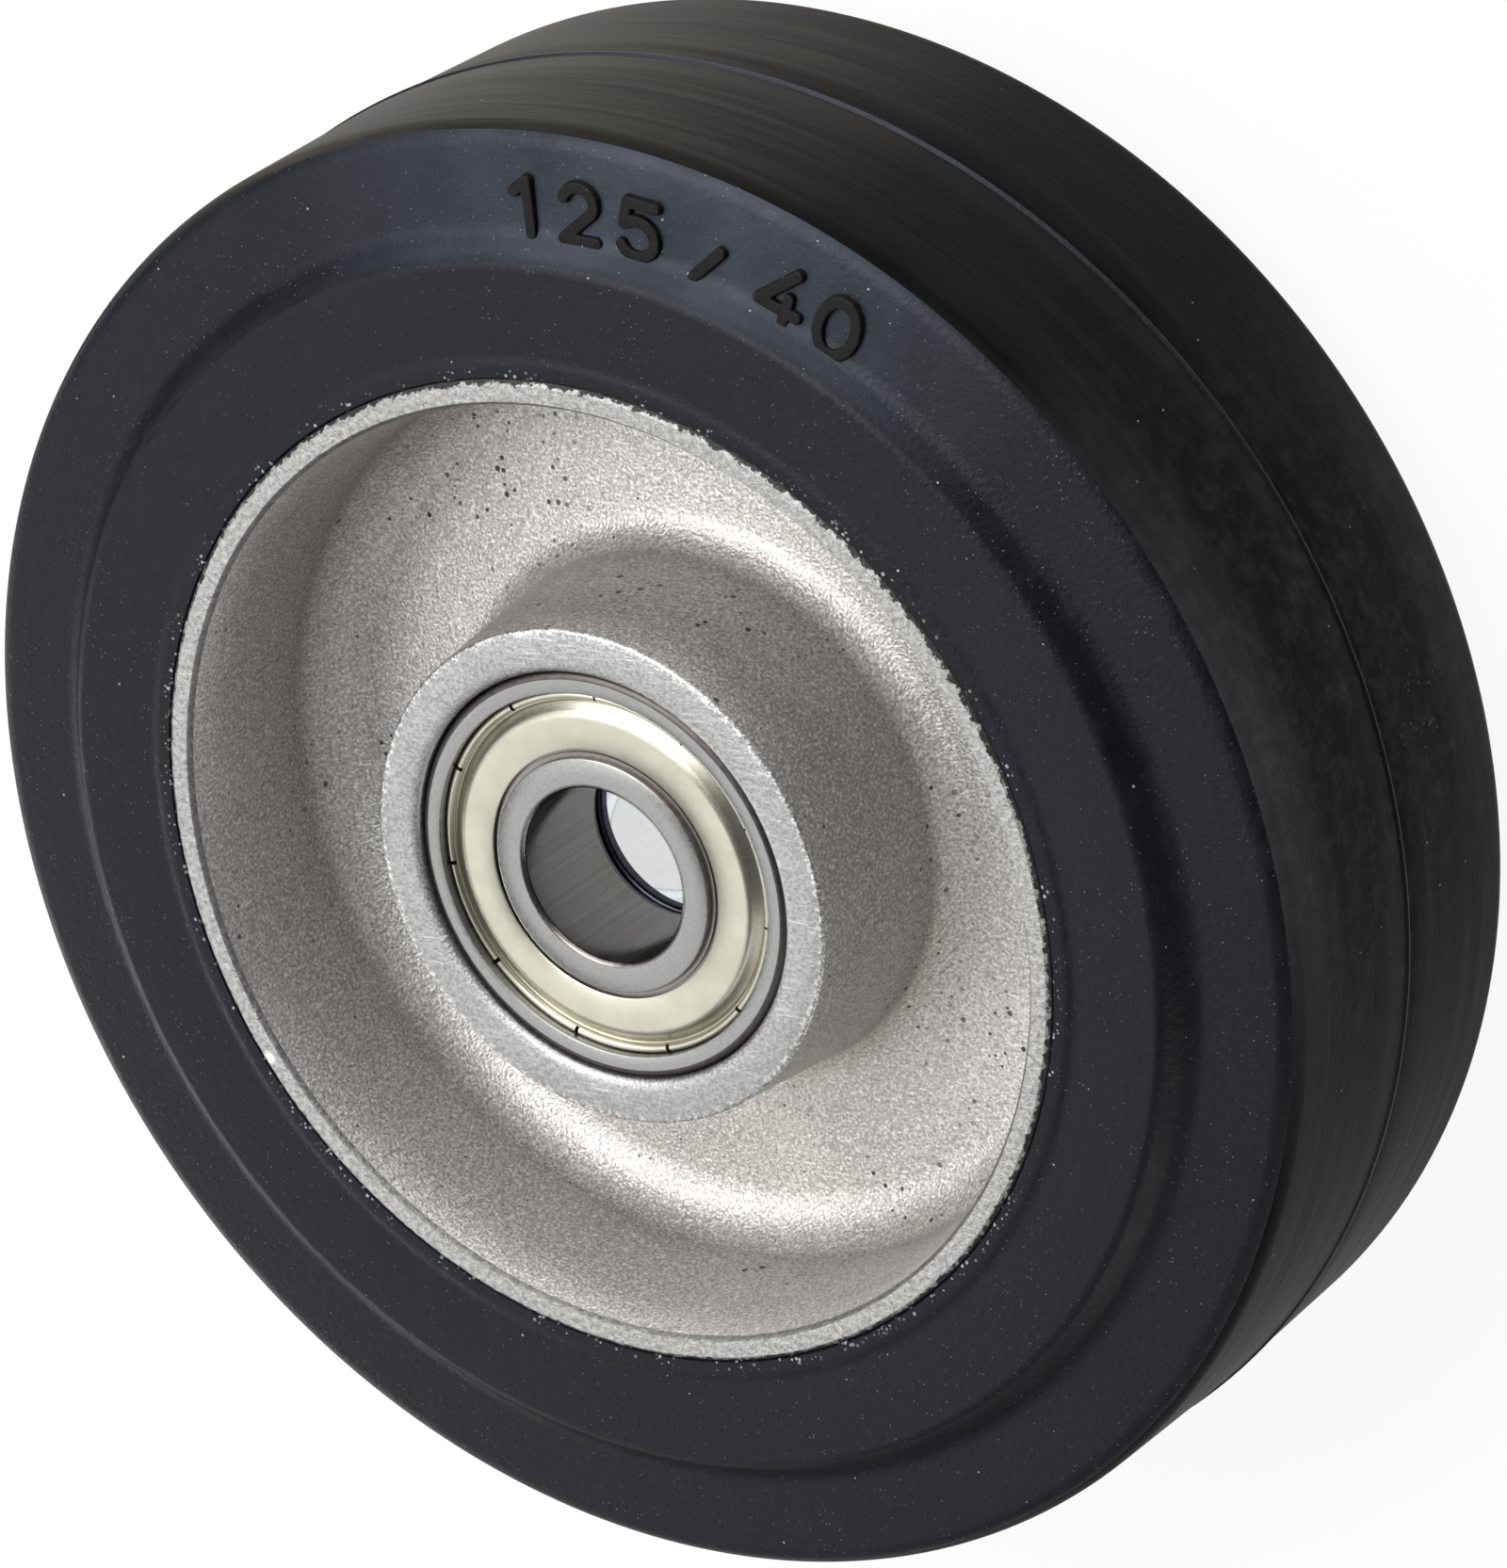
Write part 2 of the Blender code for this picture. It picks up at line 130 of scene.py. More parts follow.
def calculate(tree, operation, first, second):
    links = {place: side for place, side in enumerate((first, second)) if not isinstance(side, (int, float))}
    values = {place: side for place, side in enumerate((first, second)) if isinstance(side, (int, float))}
    return addNode(tree, "ShaderNodeMath", links, values, operation=operation).outputs[0]


def blend(tree, share, first, second):
    node = addNode(tree, "ShaderNodeMix", data_type="RGBA")
    for socket, colour in (("A", first), ("B", second)):
        target = [entry for entry in node.inputs if entry.name == socket and entry.type == "RGBA"][0]
        if isinstance(colour, tuple):
            target.default_value = colour
        else:
            tree.links.new(colour, target)
    factor = [entry for entry in node.inputs if entry.name == "Factor" and entry.type == "VALUE"][0]
    tree.links.new(share, factor)
    return [entry for entry in node.outputs if entry.type == "RGBA"][0]


def roundTheAxis(tree, place, along):
    # turns a place into (direction x, direction y, distance), so that streaks follow the turning
    split = addNode(tree, "ShaderNodeSeparateXYZ", {"Vector": place})
    links = {"X": split.outputs["X"], "Y": split.outputs["Y"]}
    flat = addNode(tree, "ShaderNodeCombineXYZ", links).outputs[0]
    far = addNode(tree, "ShaderNodeVectorMath", {0: flat}, operation="LENGTH").outputs["Value"]
    unit = addNode(tree, "ShaderNodeVectorMath", {0: flat}, operation="NORMALIZE").outputs["Vector"]
    scaled = addNode(tree, "ShaderNodeVectorMath", {0: unit}, {"Scale": along}, operation="SCALE")
    parts = addNode(tree, "ShaderNodeSeparateXYZ", {"Vector": scaled.outputs["Vector"]})
    links = {"X": parts.outputs["X"], "Y": parts.outputs["Y"], "Z": far}
    return addNode(tree, "ShaderNodeCombineXYZ", links).outputs[0], far


def raiseBump(tree, shader, height, depth, strength=1.0, under=None):
    links = {"Height": height}
    if under is not None:
        links["Normal"] = under
    bump = addNode(tree, "ShaderNodeBump", links, {"Distance": depth, "Strength": strength})
    tree.links.new(bump.outputs["Normal"], shader.inputs["Normal"])
    return bump.outputs["Normal"]


def specks(tree, place, spacing, size, share, shift=0.0):
    # scattered dots about size across, in a share of the cells that are spacing apart
    moved = addNode(tree, "ShaderNodeVectorMath", {0: place}, {1: (shift, shift, shift)}, operation="ADD")
    links = {"Vector": moved.outputs["Vector"]}
    cells = addNode(tree, "ShaderNodeTexVoronoi", links, {"Scale": 1 / spacing, "Randomness": 1.0})
    pick = addNode(tree, "ShaderNodeSeparateColor", {"Color": cells.outputs["Color"]})
    chosen = calculate(tree, "LESS_THAN", pick.outputs["Red"], share)
    reach = remap(tree, pick.outputs["Green"], 0.0, 1.0, size / spacing * 0.25, size / spacing * 0.5)
    near = calculate(tree, "LESS_THAN", cells.outputs["Distance"], reach)
    return calculate(tree, "MULTIPLY", chosen, near)


def spot(tree, place, centre, radius, soft=0.35):
    # 1 within radius of a point and 0 further out
    values = {1: tuple(part * mm for part in centre)}
    away = addNode(tree, "ShaderNodeVectorMath", {0: place}, values, operation="DISTANCE").outputs["Value"]
    return remap(tree, away, radius * (1 - soft), radius * (1 + soft), 1.0, 0.0)


def strongest(tree, *sources):
    highest = sources[0]
    for source in sources[1:]:
        highest = calculate(tree, "MAXIMUM", highest, source)
    return highest


def feed(tree, shader, **sockets):
    names = {"colour": "Base Color", "roughness": "Roughness", "metallic": "Metallic"}
    for socket, source in sockets.items():
        if isinstance(source, (int, float, tuple)):
            shader.inputs[names[socket]].default_value = source
        else:
            tree.links.new(source, shader.inputs[names[socket]])


# Black moulded rubber: dull and slightly blue, with a painted bluish reflection on the side wall by the size
# mark, dust, and metal crumbs by the lip
def makeRubber():
    material, tree, shader, place = newMaterial("moulded black natural rubber")
    ringed, far = roundTheAxis(tree, place, 30 * mm)
    smear = grain(tree, place, 22 * mm, 4.0, 0.6, 0.4)
    streak = grain(tree, ringed, 1.2 * mm, 3.0, 0.6)
    base = blend(tree, remap(tree, smear, 0.35, 0.7), fromHex("#05060a"), fromHex("#0a0b13"))
    streaked = blend(tree, remap(tree, streak, 0.5, 0.75, 0.0, 0.5), base, fromHex("#15171e"))
    # painted reflection: a cloudy bluish lightening of the side wall round the size mark, where light from
    # above reflects
    outer = remap(tree, far, 51.3 * mm, 52.2 * mm)
    markReflection = calculate(tree, "MULTIPLY", spot(tree, place, (11, 55, 17.4), 23 * mm, 0.5), outer)
    cloud = remap(tree, grain(tree, place, 9 * mm, 3.0, 0.6), 0.3, 0.7, 0.35, 1.0)
    withMarkReflection = blend(tree, calculate(tree, "MULTIPLY", markReflection, cloud), streaked, fromHex("#2f3540"))
    dusty = specks(tree, place, 2.0 * mm, 0.24 * mm, 0.3)
    fine = specks(tree, place, 0.75 * mm, 0.13 * mm, 0.35, 0.31)
    cluster = remap(tree, grain(tree, place, 7 * mm, 2.0), 0.4, 0.6, 0.25, 1.0)
    powder = calculate(tree, "MULTIPLY", specks(tree, place, 0.42 * mm, 0.12 * mm, 0.5, 0.57), cluster)
    fainter = calculate(tree, "MULTIPLY", fine, 0.45), calculate(tree, "MULTIPLY", powder, 0.55)
    dust = strongest(tree, dusty, *fainter)
    byLip = remap(tree, far, 42.55 * mm, 42.95 * mm, 1.0, 0.0)
    ragged = remap(tree, grain(tree, place, 3.5 * mm, 2.0), 0.42, 0.55)
    crumbs = calculate(tree, "MULTIPLY", specks(tree, place, 0.42 * mm, 0.34 * mm, 0.55, 0.83), byLip)
    dust = strongest(tree, dust, calculate(tree, "MULTIPLY", crumbs, ragged))
    feed(tree, shader, colour=blend(tree, calculate(tree, "MULTIPLY", dust, 0.75), withMarkReflection, fromHex("#a9adb2")))
    uneven = remap(tree, streak, 0.3, 0.7, -0.04, 0.04)
    wear = calculate(tree, "ADD", remap(tree, smear, 0.3, 0.7, 0.42, 0.52), uneven)
    feed(tree, shader, roughness=wear)
    shader.inputs["Specular IOR Level"].default_value = 0.22
    shader.inputs["Specular Tint"].default_value = (0.92, 0.94, 1.0, 1.0)
    skin = raiseBump(tree, shader, grain(tree, place, 0.5 * mm, 3.0, 0.6), 0.07 * mm)
    raiseBump(tree, shader, streak, 0.03 * mm, under=skin)
    return material


# The size mark keeps the spark-eroded skin of its insert in the mould: browner and duller than the wall
def makeMarkRubber():
    material, tree, shader, place = newMaterial("rough black rubber of the size mark")
    crumb = grain(tree, place, 0.4 * mm, 3.0, 0.6)
    base = blend(tree, remap(tree, crumb, 0.35, 0.65), fromHex("#0b0909"), fromHex("#181414"))
    dusty = specks(tree, place, 1.0 * mm, 0.16 * mm, 0.15, 0.21)
    feed(tree, shader, colour=blend(tree, calculate(tree, "MULTIPLY", dusty, 0.6), base, fromHex("#a9adb2")))
    feed(tree, shader, roughness=remap(tree, crumb, 0.3, 0.7, 0.5, 0.62))
    shader.inputs["Specular IOR Level"].default_value = 0.16
    raiseBump(tree, shader, crumb, 0.05 * mm)
    return material


# The tread's skin is duller than the side wall's and warmer, with flow marks that run round the wheel, and
# warm painted light along the flow marks on the upper part that faces the lamps
def makeTreadRubber():
    material, tree, shader, place = newMaterial("dull black tread rubber")
    flatter = {1: (0.05, 0.05, 1.0)}
    flattened = addNode(tree, "ShaderNodeVectorMath", {0: place}, flatter, operation="MULTIPLY")
    smear = grain(tree, place, 17 * mm, 4.0, 0.6, 0.6)
    flow = grain(tree, flattened.outputs["Vector"], 1.6 * mm, 3.0, 0.6, 0.5)
    base = blend(tree, remap(tree, smear, 0.42, 0.72), fromHex("#040404"), fromHex("#0b0a0a"))
    flowed = blend(tree, remap(tree, flow, 0.45, 0.7), base, fromHex("#100f0f"))
    # painted light: the upper tread, facing the key lamps, is lightened warm along the flow marks
    upper = spot(tree, place, (-14, 60, 4), 26 * mm, 0.6)
    paintedLightStreaks = calculate(tree, "MULTIPLY", upper, remap(tree, flow, 0.3, 0.7, 0.02, 0.11))
    flowed = blend(tree, paintedLightStreaks, flowed, fromHex("#a39c8b"))
    dusty = specks(tree, place, 2.0 * mm, 0.26 * mm, 0.25)
    scuff = specks(tree, place, 0.7 * mm, 0.3 * mm, 0.5, 0.37)
    scuff = calculate(tree, "MULTIPLY", scuff, spot(tree, place, (60, 12, -6), 5 * mm, 0.6))
    rubbed = remap(tree, grain(tree, place, 2 * mm, 5.0, 0.7, 0.3), 0.45, 0.75, 0.0, 0.1)
    side = spot(tree, place, (59, 14, 4), 24 * mm, 0.6)
    split = addNode(tree, "ShaderNodeSeparateXYZ", {"Vector": place})
    high = calculate(tree, "ABSOLUTE", split.outputs["Z"], 0.0)
    worn = remap(tree, high, 9 * mm, 17 * mm, 0.0, 0.17)
    sideWear = calculate(tree, "MULTIPLY", calculate(tree, "ADD", rubbed, worn), side)
    dust = strongest(tree, dusty, calculate(tree, "MULTIPLY", scuff, 0.35), sideWear)
    feed(tree, shader, colour=blend(tree, calculate(tree, "MULTIPLY", dust, 0.6), flowed, fromHex("#94959a")))
    feed(tree, shader, roughness=remap(tree, flow, 0.3, 0.7, 0.44, 0.56))
    shader.inputs["Specular IOR Level"].default_value = 0.03
    shader.inputs["Sheen Weight"].default_value = 0.05
    shader.inputs["Sheen Roughness"].default_value = 0.4
    shader.inputs["Sheen Tint"].default_value = (1.0, 0.97, 0.92, 1.0)
    skin = raiseBump(tree, shader, grain(tree, place, 0.6 * mm, 3.0, 0.6), 0.03 * mm)
    raiseBump(tree, shader, flow, 0.06 * mm, under=skin)
    return material


# Sand-blasted die casting: even frosted grey, sparkling grains, dark pores that crowd in two places. The
# steep walls are given painted shade
def makeBlastedCasting():
    material, tree, shader, place = newMaterial("sand-blasted die-cast aluminium")
    patch = grain(tree, place, 16 * mm, 3.0, 0.55)
    crumb = grain(tree, place, 0.27 * mm, 2.5, 0.6)
    base = blend(tree, remap(tree, patch, 0.35, 0.65), fromHex("#b8b5b2"), fromHex("#c8c5c1"))
    grainy = blend(tree, remap(tree, crumb, 0.32, 0.5), fromHex("#979490"), base)
    grainy = blend(tree, remap(tree, crumb, 0.52, 0.7), grainy, fromHex("#f6f5f3"))
    # painted shade: the steeper the face, the darker its colour
    normal = addNode(tree, "ShaderNodeTexCoord").outputs["Normal"]
    facing = addNode(tree, "ShaderNodeSeparateXYZ", {"Vector": normal})
    flatness = calculate(tree, "ABSOLUTE", facing.outputs["Z"], 0.0)
    grainy = blend(tree, remap(tree, flatness, 0.05, 0.42, 0.36, 0.0), grainy, fromHex("#37332f"))
    crowds = strongest(
        tree, spot(tree, place, (-17, 26, 2), 9 * mm, 0.5), spot(tree, place, (25, -20, 2), 8 * mm, 0.5))
    spread = remap(tree, grain(tree, place, 13 * mm, 1.0), 0.54, 0.66)
    pores = specks(tree, place, 1.3 * mm, 0.55 * mm, 0.5)
    crowded = calculate(tree, "MULTIPLY", specks(tree, place, 1.05 * mm, 0.52 * mm, 0.7, 0.43), crowds)
    small = specks(tree, place, 1.1 * mm, 0.28 * mm, 0.12, 0.27)
    knock = spot(tree, place, (38.1, 3.3, 19.6), 0.5 * mm)
    dark = strongest(tree, calculate(tree, "MULTIPLY", pores, spread), crowded, small, knock)
    dark = calculate(tree, "MULTIPLY", dark, 0.92)
    feed(tree, shader, colour=blend(tree, dark, grainy, fromHex("#2e2b29")))
    feed(tree, shader, metallic=0.78, roughness=remap(tree, crumb, 0.3, 0.7, 0.42, 0.52))
    shader.inputs["Specular Tint"].default_value = (1.0, 0.98, 0.96, 1.0)
    raiseBump(tree, shader, crumb, 0.1 * mm)
    return material


# Turned and scuffed aluminium: torn grains that sparkle, crossed by scratches in every direction
def makeTurnedFace():
    material, tree, shader, place = newMaterial("turned aluminium face")
    ringed, far = roundTheAxis(tree, place, 8 * mm)
    ring = grain(tree, ringed, 0.35 * mm, 3.0, 0.6)
    crumb = grain(tree, place, 0.3 * mm, 3.0, 0.65)
    patch = grain(tree, place, 5 * mm, 2.0)
    base = blend(tree, remap(tree, crumb, 0.35, 0.65), fromHex("#8d8d8c"), fromHex("#b4b4b2"))
    torn = calculate(tree, "MULTIPLY", remap(tree, crumb, 0.5, 0.6), remap(tree, far, 20.5 * mm, 20.9 * mm))
    base = blend(tree, torn, base, fromHex("#e6e6e4"))
    scratched = base
    for turn, across in ((0.35, 0.5), (-0.75, 0.7), (1.45, 0.6), (2.3, 0.55)):
        links = {"Vector": place}
        values = {"Rotation": (0.0, 0.0, turn), "Scale": (0.2, 2.6, 1.0), "Location": (across, 0.0, 0.0)}
        lined = addNode(tree, "ShaderNodeMapping", links, values).outputs["Vector"]
        line = remap(tree, grain(tree, lined, across * mm, 2.0, 0.5, 0.4), 0.62, 0.74, 0.0, 0.5)
        line = calculate(tree, "MULTIPLY", line, remap(tree, patch, 0.35, 0.55))
        scratched = blend(tree, line, scratched, fromHex("#dcdcda"))
    pits = specks(tree, place, 1.9 * mm, 0.3 * mm, 0.12)
    knock = spot(tree, place, (-18.0, 11.6, 19.6), 0.45 * mm)
    dark = calculate(tree, "MULTIPLY", strongest(tree, pits, knock), 0.7)
    feed(tree, shader, colour=blend(tree, dark, scratched, fromHex("#55534f")))
    feed(tree, shader, metallic=1.0, roughness=remap(tree, crumb, 0.3, 0.7, 0.36, 0.5))
    skin = raiseBump(tree, shader, crumb, 0.07 * mm, 0.9)
    raiseBump(tree, shader, ring, 0.01 * mm, under=skin)
    return material


# Trimmed casting edge: torn metal that sparkles, with crumbs of rubber over its ragged outer side
def makeRoughLip():
    material, tree, shader, place = newMaterial("rough-trimmed aluminium lip")
    far = roundTheAxis(tree, place, 40 * mm)[1]
    crumb = grain(tree, place, 0.5 * mm, 4.0, 0.75)
    ragged = grain(tree, place, 0.9 * mm, 3.0, 0.7)
    base = blend(tree, remap(tree, crumb, 0.35, 0.65), fromHex("#858481"), fromHex("#c1c0bd"))
    torn = calculate(tree, "ADD", far, calculate(tree, "MULTIPLY", ragged, 1.6 * mm))
    covered = remap(tree, torn, 42.5 * mm, 42.58 * mm)
    trim = remap(tree, far, 40.1 * mm, 40.3 * mm, 0.45, 0.0)
    knock = spot(tree, place, (-35.8, -20.6, 20.0), 0.55 * mm)
    trimmed = blend(tree, trim, blend(tree, knock, base, fromHex("#e0dfdc")), fromHex("#4a4845"))
    feed(tree, shader, colour=blend(tree, covered, trimmed, fromHex("#101114")))
    feed(tree, shader, metallic=remap(tree, covered, 0.0, 1.0, 1.0, 0.0))
    feed(tree, shader, roughness=remap(tree, crumb, 0.3, 0.7, 0.38, 0.55))
    raiseBump(tree, shader, crumb, 0.2 * mm, 0.9)
    return material


# Ground bearing steel: cool grey with a very fine turned grain
def makeGroundSteel(name, light, dark, roughness):
    material, tree, shader, place = newMaterial(name)
    ringed = roundTheAxis(tree, place, 4 * mm)[0]
    ring = grain(tree, ringed, 0.15 * mm, 2.0, 0.5)
    feed(tree, shader, colour=blend(tree, remap(tree, ring, 0.3, 0.7), fromHex(dark), fromHex(light)))
    uneven = remap(tree, ring, 0.3, 0.7, roughness - 0.04, roughness + 0.04)
    feed(tree, shader, metallic=1.0, roughness=uneven)
    raiseBump(tree, shader, ring, 0.004 * mm)
    return material


# Zinc plate with a pale yellow passivate on pressed sheet: satin, faintly gold, a few dark pinholes
def makeShieldPlate():
    material, tree, shader, place = newMaterial("yellow passivated zinc sheet")
    cloud = grain(tree, place, 2.5 * mm, 3.0, 0.6)
    fine = grain(tree, place, 0.2 * mm, 2.0, 0.6)
    base = blend(tree, remap(tree, cloud, 0.3, 0.7), fromHex("#aeab9c"), fromHex("#bab7a8"))
    pinholes = calculate(tree, "MULTIPLY", specks(tree, place, 1.3 * mm, 0.16 * mm, 0.14), 0.8)
    feed(tree, shader, colour=blend(tree, pinholes, base, fromHex("#4c4636")))
    feed(tree, shader, metallic=1.0, roughness=remap(tree, fine, 0.3, 0.7, 0.27, 0.34))
    raiseBump(tree, shader, fine, 0.004 * mm)
    return material


def makeBrightPlate():
    material, tree, shader, place = newMaterial("bright zinc-plated steel")
    fine = grain(tree, place, 0.6 * mm, 2.0, 0.5)
    base = blend(tree, remap(tree, fine, 0.3, 0.7), fromHex("#f2f5f8"), fromHex("#f8fafc"))
    feed(tree, shader, colour=base, metallic=1.0, roughness=remap(tree, fine, 0.3, 0.7, 0.05, 0.09))
    return material


rubber = makeRubber()
treadRubber = makeTreadRubber()
markRubber = makeMarkRubber()
blastedCasting = makeBlastedCasting()
turnedFace = makeTurnedFace()
roughLip = makeRoughLip()
groundSteel = makeGroundSteel("ground bearing steel", "#959593", "#868684", 0.3)
boreSteel = makeGroundSteel("oiled bearing bore", "#827f7b", "#6d6a67", 0.24)
rearBoreSteel = makeGroundSteel("polished bearing bore", "#eeeeec", "#e6e6e4", 0.09)
# painted shade: the step under the shield's edge is given a darker steel
shadedLandSteel = makeGroundSteel("warm grey step beside the shield, darkened as painted shade", "#98938f", "#86807c", 0.5)
# painted shade: the outer ring's corner is coloured dark for the shade in the gap at the hub's seat
gapShadeSteel = makeGroundSteel("ring corner darkened as painted shade of the seat gap", "#5c5855", "#4a4643", 0.4)
# painted shade: dark blue-grey steel for the shade deep in the bore, on the front ring's lead-in and the
# sleeve's front end
boreShadeSteel = makeGroundSteel("dark steel of the bore's depths, painted shade", "#4a4c55", "#3c3e46", 0.3)
cageSteel = makeGroundSteel("pressed cage steel", "#a5a39d", "#908e88", 0.4)
ballSteel = makeGroundSteel("polished ball steel", "#d2d4d6", "#cccecf", 0.1)
shieldPlate = makeShieldPlate()
brightPlate = makeBrightPlate()
say("materials")


# Modelling helpers
def arcOf(centre, radius, start, end, count):
    # points from start to end degrees, as (distance from the axis, height)
    turns = [math.radians(start + (end - start) * step / (count - 1)) for step in range(count)]
    return [(centre[0] + radius * math.cos(turn), centre[1] + radius * math.sin(turn)) for turn in turns]


def sinkTo(points):
    return [(far, -height) for far, height in reversed(points)]


def turnProfile(name, points, steps):
    # one vertex, made by merging a small plane, is extruded along the profile and spun round the axis
    bpy.ops.object.select_all(action="DESELECT")
    bpy.ops.mesh.primitive_plane_add(size=mm, location=(points[0][0], 0.0, points[0][1]))
    piece = bpy.context.object
    piece.name = name
    bpy.ops.object.transform_apply(location=True, rotation=True, scale=True)
    bpy.ops.object.mode_set(mode="EDIT")
    bpy.ops.mesh.select_all(action="SELECT")
    bpy.ops.mesh.merge(type="CENTER")
    for (far, height), (nextFar, nextHeight) in zip(points, points[1:] + points[:1]):
        step = (nextFar - far, 0.0, nextHeight - height)
        bpy.ops.mesh.extrude_vertices_move(TRANSFORM_OT_translate={"value": step})
    bpy.ops.mesh.select_all(action="SELECT")
    bpy.ops.mesh.remove_doubles(threshold=0.001 * mm)
    bpy.ops.mesh.spin(steps=steps, angle=2 * math.pi, center=(0, 0, 0), axis=(0, 0, 1))
    bpy.ops.mesh.select_all(action="SELECT")
    bpy.ops.mesh.remove_doubles(threshold=0.001 * mm)
    bpy.ops.mesh.normals_make_consistent(inside=False)
    bpy.ops.object.mode_set(mode="OBJECT")
    return piece


def finishPiece(piece, body, materials, angle=30):
    piece.data.materials.clear()
    for material in materials:
        piece.data.materials.append(material)
    bpy.ops.object.select_all(action="DESELECT")
    piece.select_set(True)
    bpy.context.view_layer.objects.active = piece
    bpy.ops.object.shade_smooth_by_angle(angle=math.radians(angle))
    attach(piece, body)


def paintFaces(piece, index, chosen):
    # chosen is given a face's distance from the axis and its height above or below the middle
    for face in piece.data.polygons:
        middle = face.center
        if chosen(math.hypot(middle.x, middle.y), abs(middle.z)):
            face.material_index = index


# Rubber tyre
tyre = {
    "radius": 62.5 * mm,
    "boreRadius": 42.03 * mm,
    "halfTread": 17.4 * mm,
    "draft": 0.3 * mm,
    "shoulder": 2.0 * mm,
    "ridge": 0.2 * mm,          # the flash round the tread, and its width
    "ridgeWidth": 0.5 * mm,
    "collar": 19.77 * mm,       # the narrow ring of rubber next to the casting's lip
    "collarCrown": 42.9 * mm,
    "collarEdge": 43.55 * mm,
    "beadHeight": 19.7 * mm,
    "beadFlat": 44.3 * mm,      # where the bead's flat starts, and its middle
    "beadMiddle": 47.5 * mm,
    "beadCorner": 1.2 * mm,
    "beadEdge": 50.9 * mm,      # where the bead starts to round off
    "wallSlope": 57,            # degrees from flat, of the step down to the side wall
    "foot": 54.4 * mm,
    "footRadius": 2.3 * mm,
    "bandMiddle": 57.5 * mm,
    "bandDrop": 0.22 * mm,      # how much the side wall falls away out to the shoulder
    "steps": 256,
}


def tyreProfile():
    crest = tyre["radius"] - tyre["ridge"] - tyre["draft"]
    low, high, lean = tyre["halfTread"], tyre["beadHeight"], tyre["wallSlope"]
    bore, collar, edge = tyre["boreRadius"], tyre["collar"], tyre["collarEdge"]
    front = [(bore, collar - 0.2 * mm), (bore + 0.15 * mm, collar)]
    front += [(tyre["collarCrown"], collar + 0.04 * mm), (edge, collar - 0.01 * mm)]
    front += [(edge + 0.18 * mm, high - 0.03 * mm), (tyre["beadFlat"], high), (tyre["beadMiddle"], high)]
    front += arcOf((tyre["beadEdge"], high - tyre["beadCorner"]), tyre["beadCorner"], 90, 90 - lean, 9)
    front += arcOf((tyre["foot"], low + tyre["footRadius"]), tyre["footRadius"], 270 - lean, 270, 9)
    front += [(tyre["bandMiddle"], low - tyre["bandDrop"] / 2)]
    shoulder = (crest - tyre["shoulder"], low - tyre["bandDrop"] - tyre["shoulder"])
    front += arcOf(shoulder, tyre["shoulder"], 88, 2, 11)
    for share in (0.25, 0.5, 0.75):
        front.append((crest + tyre["draft"] * share, shoulder[1] * (1 - share)))
    top, half = tyre["radius"] - tyre["ridge"], tyre["ridgeWidth"] / 2
    front += [(top, 2 * half), (top - 0.08 * mm, half * 1.1), (tyre["radius"] - 0.05 * mm, half * 0.4)]
    return front + sinkTo(front)


# The size mark stands up from the side wall. Each stroke is a line through points in mm, up being outwards.
mark = {
    "rise": 0.46 * mm,
    "pen": 0.54 * mm,           # half the width of a stroke
    "wide": 1.35,
    "tall": 1.22,
    "flare": 0.16 * mm,         # how much wider the stroke is where it meets the side wall
    "step": 0.16 * mm,
    "grain": 0.07 * mm,         # size of the cells that melt the stamps into one solid
    # azimuth and distance of each sign's middle
    "signs": {
        "one": (89.7, 55.6 * mm), "two": (84.9, 55.55 * mm), "five": (79.3, 55.45 * mm),
        "slash": (72.6, 54.7 * mm), "four": (65.5, 55.1 * mm), "nought": (60.1, 55.4 * mm),
    },
}


def strokesOf(sign):
    def bow(centre, radius, start, end, tall=1.0):
        across, up = centre
        turns = [math.radians(start + (end - start) * step / 14) for step in range(15)]
        return [(across + radius * math.cos(turn), up + tall * radius * math.sin(turn)) for turn in turns]
    strokes = {
        "one": [[(-0.95, 1.0), (0.0, 1.75), (0.0, -1.75)]],
        "two": [bow((0.0, 0.75), 1.05, 165, -35) + [(-1.1, -1.75), (1.15, -1.75)]],
        "five": [[(1.1, 1.75), (-0.8, 1.75), (-0.95, 0.25)] + bow((0.0, -0.6), 1.2, 125, -150)],
        "slash": [[(-0.75, -1.15), (0.75, 1.15)]],
        "four": [[(0.65, 1.95), (-1.35, -0.8), (1.25, -0.8)], [(0.5, 0.15), (0.5, -1.85)]],
        "nought": [bow((0.0, 0.0), 1.22, 0, 360, 1.6)],
    }
    return strokes[sign]


def stampStroke(points):
    # walks along the stroke and stamps a small cone at every step
    for (x, y), (nextX, nextY) in zip(points, points[1:]):
        length = math.hypot(nextX - x, nextY - y) * mm
        stamps = max(1, round(length / mark["step"]))
        for number in range(stamps + 1):
            share = number / stamps
            across, up = (x + (nextX - x) * share) * mm, (y + (nextY - y) * share) * mm
            bpy.ops.mesh.primitive_cone_add(
                vertices=14, radius1=mark["pen"] + mark["flare"] / 2, radius2=mark["pen"] - mark["flare"] / 2,
                depth=2 * mark["rise"], location=(across * mark["wide"], up * mark["tall"], 0.0))


